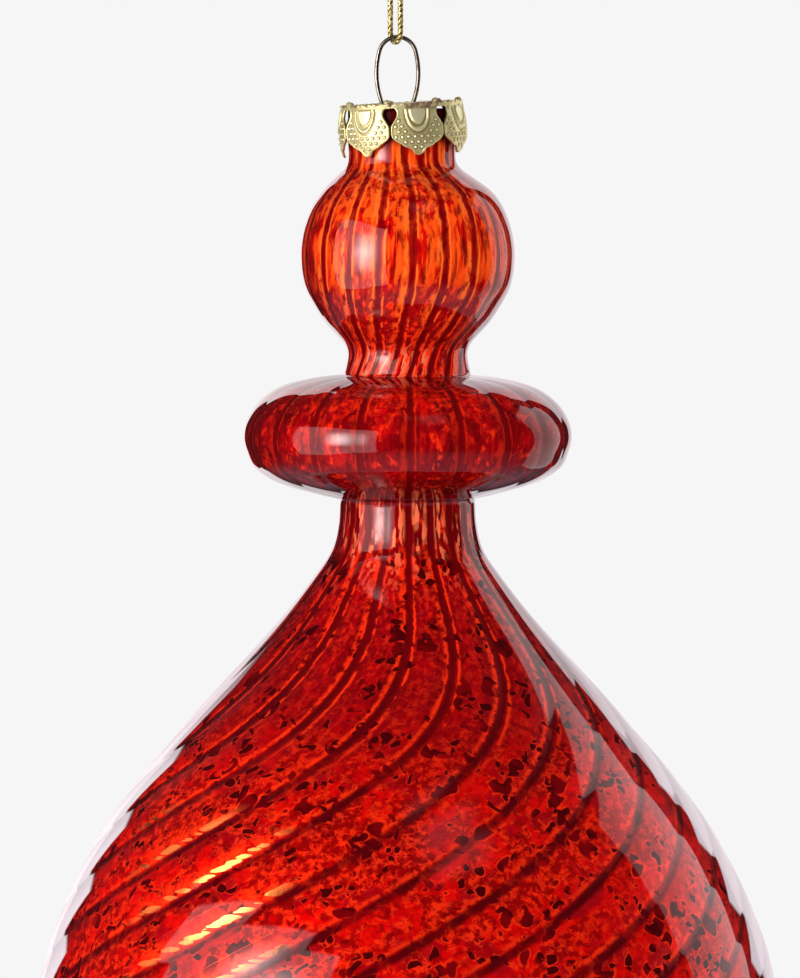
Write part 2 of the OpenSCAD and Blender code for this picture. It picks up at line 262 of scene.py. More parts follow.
# Hanging thread: the route of the source's thread, in millimetres here and metres in the mesh
thread = {"diameter": 0.8, "length": 61.5, "step": 0.16, "plies": 3, "lay": 2.3, "valley": 0.70, "around": 30,
          "gold": (0.92, 0.68, 0.25, 1.0), "shade": (0.06, 0.03, 0.008, 1.0), "glint": (1.0, 0.86, 0.5, 1.0)}
threadRoute = np.array([
    [-0.45, 0, 29], [-0.45, 0, 28.2], [-0.6, 0.3, 26.5], [-0.85, 0.8, 22], [-1, 1.2, 16],
    [-1.05, 1.4, 10], [-1, 1.5, 6], [-0.98, 1.5, 3.5], [-0.98, 1.5, 1.25], [-0.93, 1.39, 0.6],
    [-0.78, 1.06, 0.06], [-0.55, 0.57, -0.3], [-0.28, 0, -0.43], [-0.01, -0.57, -0.3],
    [0.22, -1.06, 0.06], [0.37, -1.39, 0.6], [0.42, -1.5, 1.25], [0.42, -1.5, 3.5],
    [0.42, -1.5, 6], [0.42, -1.4, 10], [0.4, -1.2, 16], [0.4, -0.8, 22], [0.42, -0.3, 26.5],
    [0.45, 0, 28.2], [0.45, 0, 29]], float)


def plyProfile(around):
    # a rope's section: ply is 1 on a ply and 0 between two, and the plies turn once in each lay
    radius = thread["diameter"] / 2

    def ply(u, s):
        return np.abs(np.cos(thread["plies"] * (u - 2 * math.pi * s / thread["lay"]) / 2))

    def shape(u, s):
        return radius * (thread["valley"] + (1 - thread["valley"]) * np.sqrt(ply(u, s)))
    return {"around": around, "half": radius, "radius": shape, "ply": ply}


def goldThreadMaterial():
    # metallised fibres: bright on the plies, near black between them as painted shade, with a few painted glints
    material, start, feed = surface("goldThread", Roughness=0.3, Metallic=0.85)
    ply = attribute(start, "ply", "Fac")
    along = attribute(start, "strandCoords")
    fibres = along.noise(5.0, 3.0)
    glintSpots = along.cells(3.2, out="Color").part("X")
    # painted shade: near black in the valleys between the plies
    colour = (ply.rise(0.2, 0.8) * (fibres * 0.6 + 0.5)).blend(thread["shade"], thread["gold"])
    # painted glints: a few spots of paler gold
    colour = glintSpots.rise(0.72, 0.9).blend(colour, thread["glint"])
    feed(Base_Color=colour, Roughness=0.18 + 0.4 * fibres, Normal=bump(fibres + ply, 0.5, 0.00008))
    return material


def makeThread():
    route = smoothThrough(threadRoute, int(thread["length"] / thread["step"]))
    return strand("hanging_thread", route, plyProfile(thread["around"]), (1.0, 0.5, 0.0)), route


knot = {"height": 30.0, "wide": 0.468, "deep": 0.30, "lift": 0.62, "loop": 1.35, "bowSteps": 181,
        "start": 0.4, "spread": 0.98, "rise": 3.9, "tailSteps": 24, "around": 18}


def makeKnot():
    # a tight trefoil: x is wide (sin t + loop sin 2t), y is deep (cos t - loop cos 2t) and z is lift sin 3t; its
    # two ends stand up out of it, leaning apart
    k = knot
    t = np.linspace(0.0, 2 * math.pi, k["bowSteps"])
    bow = np.stack([k["wide"] * (np.sin(t) + k["loop"] * np.sin(2 * t)),
                    k["deep"] * (np.cos(t) - k["loop"] * np.cos(2 * t)),
                    k["height"] + k["lift"] * np.sin(3 * t)], -1)
    lean = np.linspace(0.0, 1.0, k["tailSteps"])
    tails = [np.stack([side * (k["start"] + k["spread"] * lean), 0.12 * side * np.sin(3 * lean),
                       k["height"] + k["rise"] * lean], -1) for side in (-1.0, 1.0)]
    profile = plyProfile(k["around"])
    return [strand("knot_bow", bow, profile, (0.3, 0.2, 1.0)),
            strand("knot_end_left", tails[0], profile, (1.0, 0.0, 0.0)),
            strand("knot_end_right", tails[1], profile, (1.0, 0.0, 0.0))]


goldThread = goldThreadMaterial()
threadPiece, threadLine = makeThread()
knotPieces = makeKnot()
for piece in [threadPiece] + knotPieces:
    piece.data.materials.append(goldThread)
    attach(piece, "root")
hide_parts("hanging_cord")
for piece in knotPieces:
    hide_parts("cord_knot")
tuple(threadLine[-1] * mm)
[tuple(p) for p in (threadLine[::4] * mm).tolist()]
print("thread and knot made")


# Glass body: the source's outline, with the flutes' turn and lobes
glass = {"neckR": 7.55, "neckLen": 7.1, "neckLean": 0.77, "ballR": 15.05, "ballUpper": 13.2, "ballLower": 14.0,
         "waistR": 8.4, "waistLen": 2.9, "collarR": 23.1, "collarH": 17.4, "collarFoot": 0.5, "throatR": 9.5,
         "bulbR": 53.5, "bulbDrop": 80.7, "bulbEnd": 46.0, "wall": 1.45, "glassX": 1.4, "leanFrom": 0.4,
         "flutes": 20, "perFlute": 12, "fluteStart": 3.0, "ballTurn": 20.0, "bulbTurn": 2.15,
         "turnStart": 15.0, "turnRamp": 19.0, "lobe": 0.012, "ballLobe": 0.15,
         "rows": (84, 78, 120, 70), "innerRows": (10, 8, 9, 6)}
# the cap's place: its top's middle, tilt and plate, and how far out the plate meets the rim
seat = {"x": 0.53, "z": -8.96, "tilt": 3.0, "plate": 0.3, "reach": 7.65, "room": 0.03}
capTilt = math.radians(seat["tilt"])
rimZ = seat["z"] - seat["plate"] * math.cos(capTilt) - seat["reach"] * math.sin(capTilt) - seat["room"]
shoulderZ = rimZ - glass["neckLen"]
ballZ = shoulderZ - glass["ballUpper"]
waistZ = ballZ - glass["ballLower"]
collarTop = waistZ - glass["waistLen"]
collarBottom = collarTop - glass["collarH"]
bulbZ = collarBottom - glass["bulbDrop"]
# forms: share of the way down, share of the way out
shoulderForm = np.array([[0.09, 0.07], [0.19, 0.28], [0.32, 0.55], [0.49, 0.77], [0.7, 0.92], [0.86, 0.98]])
hipForm = np.array([[0.2, 0.97], [0.36, 0.88], [0.52, 0.7], [0.68, 0.48], [0.8, 0.25], [0.9, 0.07]])
collarForm = np.array([[0.03, 0.32], [0.1, 0.64], [0.22, 0.85], [0.37, 0.97], [0.5, 1], [0.61, 0.97],
                       [0.74, 0.89], [0.86, 0.65], [0.95, 0.27]])
bulbForm = np.array([[0.044, 0.005], [0.086, 0.024], [0.1275, 0.073], [0.211, 0.194], [0.377, 0.468],
                     [0.544, 0.717], [0.71, 0.8825], [0.87, 0.972]])


def shaped(form, z, drop, fromR, toR):
    # a form's points: its share of the drop below z and of the way from one radius to the other
    return np.stack([fromR + (toR - fromR) * form[:, 1], z - drop * form[:, 0]], -1)


def glassOutline(counts):
    # radius and height from the rim to the pole: three curves through the forms' points and a quarter of an
    # ellipse, in as many steps as counts gives each
    g = glass
    foot = g["waistR"] + g["collarFoot"]
    fromR = np.where(collarForm[:, 0] < 0.5, foot, g["throatR"])
    neckBall = np.concatenate([
        [[g["neckR"], rimZ], [g["neckR"], rimZ - g["neckLen"] / 2], [g["neckR"], shoulderZ]],
        shaped(shoulderForm, shoulderZ, g["ballUpper"], g["neckR"], g["ballR"]), [[g["ballR"], ballZ]],
        shaped(hipForm, ballZ, g["ballLower"], g["waistR"], g["ballR"]),
        [[g["waistR"], waistZ], [foot, collarTop]]])
    collar = np.concatenate([[[foot, collarTop]],
                             shaped(collarForm, collarTop, g["collarH"], fromR, g["collarR"]),
                             [[g["throatR"], collarBottom]]])
    bulb = np.concatenate([[[g["throatR"], collarBottom]],
                           shaped(bulbForm, collarBottom, g["bulbDrop"], g["throatR"], g["bulbR"]),
                           [[g["bulbR"], bulbZ]]])
    a = np.linspace(0.0, math.pi / 2, counts[3] + 1)
    end = np.stack([g["bulbR"] * np.cos(a), bulbZ - g["bulbEnd"] * np.sin(a)], -1)
    return np.concatenate([smoothThrough(neckBall, counts[0]), smoothThrough(collar, counts[1])[1:],
                           smoothThrough(bulb, counts[2])[1:], end[1:]])


def turnAt(z):
    # degrees the flutes have turned at height z: the square of the way down the ball's lower half, then along the
    # bulb at a rate that grows over turnRamp and stays
    g = glass
    down = np.clip((ballZ - z) / (g["ballLower"] + g["waistLen"]), 0.0, 1.0)
    x = collarBottom - z - g["turnStart"]
    built = np.where(x < 0, 0.0, np.where(x < g["turnRamp"], x * x / (2 * g["turnRamp"]), x - g["turnRamp"] / 2))
    return g["fluteStart"] - g["ballTurn"] * down ** 2 - g["bulbTurn"] * built


def leanAt(z):
    # the neck's axis stands neckLean to the left of the ball's and comes over to it below the shoulder
    reach = glass["ballUpper"] * glass["leanFrom"]
    return glass["glassX"] - glass["neckLean"] * ease((z - shoulderZ + reach) / reach)


def glassPatterns(a, radius, z, arc, turn, lean):
    # pattern coordinates in millimetres: silver turns with the ball's flutes but not with the bulb's, drawn turns
    # with them all the way and is squeezed, so that its noise runs out in streaks, and flow is silver's direction
    # down the glass
    rows = len(z) - 1
    places = [collarBottom - 60, collarBottom - 14, collarBottom, collarTop, ballZ, rimZ]
    stretch = np.interp(z, places, [1.0, 0.8, 0.6, 0.9, 0.45, 0.4])
    run = np.concatenate([[0.0], np.cumsum(np.diff(arc) * (stretch[1:] + stretch[:-1]) / 2)])
    still = np.radians(turnAt(np.maximum(z, collarBottom - glass["turnStart"])))

    def wrapped(reach, twist, down):
        return turned(reach[:rows, None], a - twist[:rows, None], -down[:rows, None])
    silver = wrapped(radius, still, run)
    spread = np.minimum(radius, 25.0 + 0.25 * radius) / np.sqrt(1 + lean ** 2)
    drawn = wrapped(spread, np.radians(turn), arc * 0.12 * np.sqrt(1 + lean ** 2))
    flow = unit(np.gradient(silver, axis=0))
    poles = [[0.0, 0.0, -run[-1]]], [[0.0, 0.0, drawn[-1, -1, 2]]], [[1.0, 0.0, 0.0]]
    return [np.concatenate([v.reshape(-1, 3), pole]) for v, pole in zip((silver, drawn, flow), poles)]


def innerWall(angle):
    # the outline moved in by the wall's thickness, without lobes, and its pole
    g = glass
    outline = glassOutline(g["innerRows"])
    tangent = unit(np.gradient(outline, axis=0))
    wall = outline - np.stack([-tangent[:, 1], tangent[:, 0]], -1) * g["wall"]
    wall[0] = outline[0] - [g["wall"], 0.0]
    wall[-1] = outline[-1] + [0.0, g["wall"]]
    rows = len(wall) - 1
    points = turned(wall[:rows, :1], angle, wall[:rows, 1:])
    points[..., 0] += leanAt(points[..., 2])
    return rows, np.concatenate([points.reshape(-1, 3), [[g["glassX"], 0.0, wall[-1][1]]]])


def makeGlass():
    # outer face: the outline less a lobe's depth times (1 - sin pi u), with u the place across a flute, and the
    # flutes turned by turnAt; inside it the plain wall, with the rim joining the two
    g = glass
    outline = glassOutline(g["rows"])
    rows, columns = len(outline) - 1, g["flutes"] * g["perFlute"]
    radius, z = outline[:, 0], outline[:, 1]
    tangent = unit(np.gradient(outline, axis=0))
    outward = np.stack([-tangent[:, 1], tangent[:, 0]], -1)
    arc = np.concatenate([[0.0], np.cumsum(np.linalg.norm(np.diff(outline, axis=0), axis=1))])
    turn = turnAt(z)
    lean = np.abs(np.gradient(np.radians(turn), arc)) * radius  # sideways run of a flute for each step down
    width = 2 * math.pi * radius / g["flutes"] / np.sqrt(1 + lean ** 2)  # a flute's, square to itself
    j = np.arange(columns)
    u = j % g["perFlute"] / g["perFlute"]
    deep = g["lobe"] * width * ease((rimZ - z) / g["neckLen"]) * ease(radius / g["throatR"])
    deep = deep * np.interp(z, [waistZ, ballZ], [1.0, g["ballLobe"]])
    sunk = deep[:, None] * (1 - np.sin(math.pi * u))[None, :]
    level = outline[:rows, None, :] - outward[:rows, None, :] * sunk[:rows, :, None]
    a = np.radians(turn[:rows, None] + 360.0 * j[None, :] / columns)
    points = turned(level[..., 0], a, level[..., 1])
    points[..., 0] += leanAt(level[..., 1])
    points = np.concatenate([points.reshape(-1, 3), [[g["glassX"], 0.0, z[-1]]]])
    # rib: distance from the nearest crease in flutes, which side of it, and the flute's width
    side = 1 - np.abs(((u + 0.25) % 1.0) * 4 - 2)
    rib = np.broadcast_arrays(np.minimum(u, 1 - u)[None, :], side[None, :], width[:rows, None])
    rib = np.concatenate([np.stack(rib, -1).reshape(-1, 3), [[0.25, 0.0, 0.1]]])
    silver, drawn, flow = glassPatterns(a, radius, z, arc, turn, lean)
    first, onward = len(points), (j + 1) % columns
    inRows, inside = innerWall(np.radians(turn[0] + 360.0 * j / columns)[None, :])
    rim = np.stack([j, onward, first + onward, first + j], -1)
    quads = np.concatenate([gridFaces(rows, columns)[:, ::-1], gridFaces(inRows, columns, first=first), rim])
    fans = np.concatenate([fan((rows - 1) * columns, columns, rows * columns)[:, ::-1],
                           fan(first + (inRows - 1) * columns, columns, first + inRows * columns)])
    rib = np.concatenate([rib, np.tile([[0.25, 0.0, 1.0]], (len(inside), 1))])
    silver, drawn = np.concatenate([silver, inside]), np.concatenate([drawn, inside])
    flow = np.concatenate([flow, np.tile([[0.0, 0.0, 1.0]], (len(inside), 1))])
    return makeMesh("glass_shell", np.concatenate([points, inside]) * mm, quads, fans,
                    {"rib": rib, "silver": silver, "drawn": drawn, "flow": flow})


# Silvering: its colours, the scales of its noise and its three kinds of cell
silvering = {
    "flatRed": (0.76, 0.0006, 0.0010, 1.0), "wineRed": (0.38, 0.0002, 0.0060, 1.0),
    "rust": (0.42, 0.0006, 0.0008, 1.0), "orange": (1.0, 0.030, 0.004, 1.0),
    "ballOrange": (1.0, 0.085, 0.006, 1.0), "ballRed": (0.52, 0.0020, 0.001, 1.0),
    "maroon": (0.14, 0.0002, 0.0016, 1.0), "crease": (0.075, 0.0, 0.0018, 1.0),
    "cell": (0.045, 0.0001, 0.0010, 1.0), "mirror": (0.70, 0.150, 0.035, 1.0),
    "paintedHighlight": (1.0, 0.200, 0.080, 1.0), "crimson": (0.26, 0.0001, 0.0030, 1.0),
    "net": (0.27, 0.0004, 0.0008, 1.0), "amberHighlight": (1.0, 0.15, 0.016, 1.0),
    "clear": (0.52, 0.45, 0.48, 1.0), "capShadow": (0.06, 0.002, 0.002, 1.0)}
grain = {"clusters": 0.105, "loose": 0.12, "patches": 0.22, "bend": 0.45, "mottle": 0.8, "streaks": 0.9,
         "thin": 1.5}
cellKinds = {"big": {"scale": 0.29, "least": 0.20, "spread": 0.15, "share": 0.60},
             "mid": {"scale": 0.60, "least": 0.21, "spread": 0.15, "share": 0.58},
             "tiny": {"scale": 1.30, "least": 0.17, "spread": 0.14, "share": 0.50}}
# places in millimetres: a step rises from its first number to its second, and a band also falls again between
# its last two
steps = {"ball": (-44, -34), "slim": (-104, -76), "noCells": (-52, -46), "lowerCollarShade": (-59, -66),
         "mirrorZ": (-104, -109), "mirrorY": (-10, -14), "plainX": (20, 34),
         "capShadow": (-15.6, -13.2), "coatEnd": (-16.5, -14)}
bands = {"collar": (-73, -70, -53, -48), "upper": (-106, -90, -78, -70),
         "lowBall": (-47.5, -45, -37, -31), "waist": (-48.5, -46.5, -44.5, -41.5),
         "throat": (-78, -68, -65, -62), "mirrorX": (-38, -33, -17, -13)}


def silverCells(place, kind):
    # cells rounded off between veins: a cell is where the distance to its border outweighs that to its middle;
    # gives the cells, their rims and the distance to the border
    near, edge = place.cells(kind["scale"]), place.cells(kind["scale"], "DISTANCE_TO_EDGE")
    pick = Signal(near.tree, near.socket.node.outputs["Color"])
    swell = edge * 0.7 - near * 0.85 + pick.part("Y") * kind["spread"] + kind["least"]
    swell = swell.maths("MINIMUM", edge - 0.02)
    chosen, filled = pick.part("X").rise(kind["share"], kind["share"] - 0.01), swell.rise(-0.01, 0.08)
    return filled * chosen, swell.rise(-0.13, -0.04) * (1.0 - filled) * chosen, edge


def longCells(place, flow, reach, kind):
    # two layers of cells moved apart along the flute, so that the two together are longer than wide
    ahead, behind = (silverCells(place.moved(flow, way), kind) for way in (reach, -reach))
    return ahead[0].maths("MAXIMUM", behind[0]), ahead[1].maths("MAXIMUM", behind[1]), ahead[2]


def mercuryGlass():
    # red-tinted glass over a broken mirror: bright veins round smooth dark cells, under a clear coat
    material, start, feed = surface("mercuryGlass", Coat_Roughness=0.02, Coat_IOR=1.5, Specular_IOR_Level=0.0)
    tone = silvering
    rib = attribute(start, "rib")
    silver, drawn, flow = attribute(start, "silver"), attribute(start, "drawn"), attribute(start, "flow")
    crease, side, width = rib.part("X"), rib.part("Y"), rib.part("Z")
    across, depth, height = (start.part(axis) * (1 / mm) for axis in "XYZ")

    def band(signal, name):
        low, full, fullTo, high = bands[name]
        return signal.rise(low, full) * signal.rise(high, fullTo)
    onBall, onCollar, upper = height.rise(*steps["ball"]), band(height, "collar"), band(height, "upper")
    slim = height.rise(*steps["slim"])  # everything above the bulb's shoulder
    plainSide = across.rise(*steps["plainX"])

    # where the silvering has crazed into a net, and where its cells are big, middling and tiny
    wander = silver.noise(grain["bend"], 0.0, out="Color")
    wander = wander.add("ShaderNodeVectorMath", {0: wander, 1: (0.5, 0.5, 0.5)}, operation="SUBTRACT")
    bent = silver.moved(wander, 2.0)
    clusters = silver.noise(grain["clusters"], 3.0) - 0.06 * plainSide - 0.02 * upper
    loose = silver.moved(clusters, 40.0).noise(grain["loose"], 2.5)
    crazed = loose.rise(0.45, 0.54) * (1.0 - plainSide * 0.6)
    mottle = silver.noise(grain["mottle"], 4.0, 0.6)
    patches = silver.noise(grain["patches"], 2.0)
    bigCells, bigRims, _ = longCells(bent, flow, 0.36, cellKinds["big"])
    midCells, midRims, midEdge = longCells(bent, flow, 0.18, cellKinds["mid"])
    tinyCells, _, tinyEdge = silverCells(bent, cellKinds["tiny"])
    inBig = clusters.rise(0.49, 0.51) * patches.rise(0.45, 0.47)
    inMid = clusters.rise(0.44, 0.465) * (1.0 - inBig)
    inTiny = crazed * (1.0 - inBig) * (1.0 - inMid)
    cells = bigCells * inBig + midCells * inMid + tinyCells * inTiny * (0.6 - 0.4 * slim)
    cells = cells * (1.0 - height.rise(*steps["noCells"])) * (1.0 - onCollar * 0.5)
    rims = bigRims * inBig + midRims * inMid
    veins = (1.0 - midEdge.rise(0.02, 0.13)).maths("MAXIMUM", (1.0 - tinyEdge.rise(0.02, 0.18)) * 0.7)
    veins = veins * mottle.rise(0.42, 0.58) * (crazed * 0.8 + 0.2)
    veins = veins.maths("MAXIMUM", rims * mottle.rise(0.36, 0.56))

    # bulb and collar: flat red, wine and rust in wide patches, the crazed ones with a dark net and orange veins
    colour = patches.rise(0.38, 0.52).blend(tone["wineRed"], tone["flatRed"])
    colour = (mottle.rise(0.54, 0.40) * (crazed * 0.5 + 0.5)).blend(colour, tone["rust"])
    colour = (crazed * mottle.rise(0.62, 0.48) * 0.7).blend(colour, tone["net"])
    colour = (crazed * mottle.rise(0.53, 0.70) * 0.65).blend(colour, tone["orange"])
    colour = (veins * 0.85).blend(colour, tone["orange"])
    colour = (onCollar * 0.72).maths("MAXIMUM", upper * 0.7).blend(colour, tone["crimson"])

    # neck, ball, waist and throat: streaks drawn out along the flutes, brightest on their middles as painted
    # light
    streaks, thin = drawn.noise(grain["streaks"], 2.0), drawn.noise(grain["thin"], 2.0)
    # painted light: brighter toward each flute's middle, darker toward its creases
    ridge = crease.rise(0.12, 0.36)
    ball = (streaks.rise(0.43, 0.60) * (ridge * 0.7 + 0.3)).blend(tone["ballRed"], tone["ballOrange"])
    ball = (mottle.rise(0.54, 0.62) * 0.75).blend(ball, tone["maroon"])
    colour = (onBall * 0.92).blend(colour, ball)
    lit = thin.rise(0.54, 0.64) * slim * (1.0 - onCollar * 0.7) * (0.32 + 0.38 * onBall)
    colour = lit.blend(colour, onBall.blend(tone["orange"], tone["ballOrange"]))
    # painted shade: the collar's lower half darkened, on top of darker patches of the silvering
    dull = onCollar * (height.rise(*steps["lowerCollarShade"]) * 0.45 + patches.rise(0.53, 0.42) * 0.6)
    colour = dull.blend(colour, tone["maroon"])
    # painted glints: orange on the middles of the collar's flutes
    colour = (ridge * mottle.rise(0.54, 0.62) * onCollar * 0.6).blend(colour, tone["orange"])
    lowBall = band(height, "lowBall")
    # painted shade: the ball's lower part and the waist darkened to crimson
    colour = (lowBall * 0.88).blend(colour, tone["crimson"])
    colour = (thin.rise(0.47, 0.38) * (slim * 0.45 + 0.25)).blend(colour, tone["maroon"])
    colour = (lowBall * thin.rise(0.58, 0.66) * 0.7).blend(colour, tone["orange"])
    # painted highlights: bright streaks on the waist and the throat
    narrow = band(height, "waist") + band(height, "throat")
    colour = (narrow * thin.rise(0.51, 0.57) * crease.rise(0.08, 0.2) * 0.85).blend(colour, tone["paintedHighlight"])

    # each crease gets painted shade, a soft dark line in a deeper valley, and a painted highlight beside it
    reach = onCollar * 0.15 + upper * 0.2 + 0.25
    # painted shade: darker in the valley at each crease
    valley = (1.0 - crease.rise(0.0, reach)) * (slim * 0.42 + onCollar * 0.55 + upper * 0.45)
    colour = (valley * (0.5 + 0.8 * streaks.rise(0.62, 0.42))).blend(colour, tone["maroon"])
    fromCrease = crease * width
    fromLine = (fromCrease - mottle * 0.6 + 0.3) / (1.0 - 0.5 * slim)
    above = fromCrease * (side.rise(0.1, -0.1) * 2.0 - 1.0)
    # painted highlight: a bright line on the upper flank of each crease and a thin one beside it
    bright = above.rise(0.5, 0.9) * (1.0 - above.rise(1.0, 1.7)) * mottle.rise(0.40, 0.56)
    beside = fromLine.rise(0.9, 1.2) * (1.0 - fromLine.rise(1.3, 1.9))
    beside = beside * slim.maths("MAXIMUM", upper) * streaks.rise(0.40, 0.52)
    bright = bright.maths("MAXIMUM", beside) * (1.0 - onCollar * 0.7)
    colour = (bright * 0.9).blend(colour, onBall.blend(tone["orange"], tone["amberHighlight"]))
    colour = cells.blend(colour, patches.rise(0.45, 0.62).blend(tone["cell"], tone["maroon"]))

    # along the upper flank of the front creases runs a row of cells of bare mirror
    where = band(across, "mirrorX") * height.rise(*steps["mirrorZ"]) * depth.rise(*steps["mirrorY"])
    where = where * above.rise(0.2, 0.3)
    row = drawn.scaled(0.3, 0.3, 2.7).noise(1.0, 0.5) - 0.12 * ((above - 1.15) / 0.60) ** 4.0
    bare = row.rise(0.44, 0.465) * where
    # painted reflection: an orange glow of lamp light round the mirror cells
    colour = (where * (1.0 - above.rise(2.0, 4.0)) * 0.6 * mottle.rise(0.35, 0.55)).blend(colour, tone["orange"])
    colour = bare.blend(colour, tone["mirror"])
    # painted shade: the dark line along each crease
    dark = 0.93 - 0.2 * onBall - 0.25 * patches.rise(0.44, 0.56) * (1.0 - slim)
    dark = (1.0 - fromLine.rise(0.25, 1.05)) * dark
    colour = dark.blend(colour, slim.blend(tone["crease"], tone["maroon"]))
    # painted shadow: the glass neck darkened under the cap
    colour = height.rise(*steps["capShadow"]).blend(colour, tone["capShadow"])

    # the tint is deeper where one looks through more of it, and at the bulb's edge one looks past the silvering
    # through clear glass, in a step at each flute; the pale colour there is painted light of the backdrop seen
    # through it
    facing = start.add("ShaderNodeLayerWeight", {"Blend": 0.5}, "Facing")
    colour = facing.rise(0.35, 0.9).blend(colour, colour.scaled(0.55, 0.25, 0.7))
    deeper = facing.rise(0.55, 0.82).maths("MAXIMUM", facing.rise(0.15, 0.7) * slim * 0.7)
    colour = deeper.blend(colour, colour.scaled(0.45, 0.25, 0.7))
    # painted light: the backdrop's pale tone on the clear rim
    past = (facing + crease * 0.15).rise(0.755, 0.775) * (1.0 - slim)
    colour = past.blend(colour, tone["clear"])
    metal = (0.40 - 0.35 * cells) * (1.0 - slim * 0.65) * facing.rise(0.8, 0.4) * (1.0 - bare) + bare
    relief = (crease * math.pi).maths("SINE") * width * (0.11 - 0.05 * slim) + mottle * 0.03
    coat = (1.0 - 0.85 * height.rise(*steps["coatEnd"])) * (1.0 - 0.7 * past)
    feed(Base_Color=colour, Metallic=metal, Roughness=0.40 - 0.2 * cells - 0.3 * bare, Coat_Weight=coat,
         Normal=bump(relief, 1.0, mm))
    return material


glassPiece = makeGlass()
glassPiece.data.materials.append(mercuryGlass())
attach(glassPiece, "root")
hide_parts("glass_body")
print("glass made")


# Cap: a rolled top plate over seven stamped petals, in a frame of its own that is tilted on the neck
cap = {"r": 8.5, "bulge": 0.4, "skirtTop": 0.45, "skirtFoot": 7.56, "petals": 7, "gapStart": 11.3,
       "halfPitch": 3.86, "sheet": 0.28, "rows": 92, "across": 84, "inside": 16, "knobR": 0.56, "knobSunk": 0.02,
       "knobRings": 7, "knobSides": 22, "slotX": 2.151, "slotHalf": (0.95, 0.5, 0.9)}
# the plate's rolled edge, with small crimps and longer waves round it
roll = {"r": 8.31, "z": -0.15, "bead": 0.27, "crimps": 52, "crimpDeep": 0.045, "waves": 23, "waveDeep": 0.03,
        "wavesFrom": 1.0, "down": 0.8, "around": 360}
# a petal's stamping: its rim, the shield's oval with its ridge, pad and moat, and the pearls
stamp = {"rimIn": 0.16, "rimWide": 0.17, "rimHigh": 0.10, "ovalWide": 1.5, "ovalTall": 2.7, "ovalTop": 0.9,
         "ridgeWide": 0.19, "ridgeHigh": 0.18, "padIn": 0.38, "padRamp": 0.18, "padHigh": 0.15, "moatAt": 0.27,
         "moatHalf": 0.07, "sunk": 0.03, "startsAt": 0.55, "startRamp": 0.3, "pearlR": 0.20, "pearlHigh": 0.15,
         "pitch": 0.86, "rowPitch": 0.87, "firstRow": 2.35, "pearlRows": 9, "moatWide": 0.13, "fromEdge": 0.40,
         "fromShield": 0.42}
brass = {"pale": (0.86, 0.75, 0.38, 1.0), "dull": (0.64, 0.52, 0.22, 1.0), "raised": (0.98, 0.92, 0.60, 1.0),
         "hollow": (0.26, 0.19, 0.07, 1.0), "pearl": (1.0, 0.97, 0.74, 1.0), "brown": (0.26, 0.13, 0.11, 1.0),
         "brownZ": (-9.75, -9.35)}
skirtForm = np.array([[0, 0], [0.1, 0.35], [0.36, 1], [0.62, 1], [0.82, 0.4], [1, -0.6]])
# half of the gap between petals at each depth below the top
gapForm = np.array([[0.3, 0], [0.36, 0.34], [0.48, 0.58], [0.72, 0.84], [1, 0.99], [1.35, 1.05], [1.62, 1.01],
                    [1.88, 0.9], [2.2, 0.68], [2.6, 0.42], [3, 0.2], [3.24, 0.12], [4.32, 0.12], [4.7, 0.26],
                    [5.05, 0.6], [5.35, 1.05], [5.55, 1.42], [5.66, 1.58], [5.8, 1.68], [6, 2.02], [6.18, 2.5],
                    [6.28, 2.78], [6.42, 2.92], [6.66, 3.06], [6.9, 3.24], [7.08, 3.46], [7.2, 3.84]])


def capPlace(points):
    # the cap's frame to the ornament's: turned by its tilt, its right side up, and moved onto the neck
    x, y, z = np.moveaxis(np.asarray(points, float), -1, 0)
    return np.stack([x * math.cos(capTilt) - z * math.sin(capTilt) + seat["x"], y,
                     x * math.sin(capTilt) + z * math.cos(capTilt) + seat["z"]], -1)


def skirtRadius(depth):
    # the skirt bulges at its upper third and draws in at its foot
    c = cap
    line = shaped(skirtForm, c["skirtTop"], c["skirtTop"] - c["skirtFoot"], c["r"], c["r"] + c["bulge"])
    line = smoothThrough(line, 60)
    return np.interp(depth, line[:, 1], line[:, 0])


def humps(distance, width, height):
    # a rounded ridge: a cosine hump over a distance of width either side
    return height * (0.5 + 0.5 * np.cos(math.pi * np.clip(distance / width, -1, 1)))


def nearest(x, depth, spots):
    # distance from each place to the nearest of the spots
    return np.sqrt((x[..., None] - spots[:, 0]) ** 2 + (depth[..., None] - spots[:, 1]) ** 2).min(-1)


def ovalAt(x, depth):
    # distance outside the shield's upright oval, whose lower half shows, as a share of its half-width
    wide = stamp["ovalWide"]
    return wide * (np.hypot(x / wide, np.maximum(depth - stamp["ovalTop"], 0.0) / stamp["ovalTall"]) - 1.0)


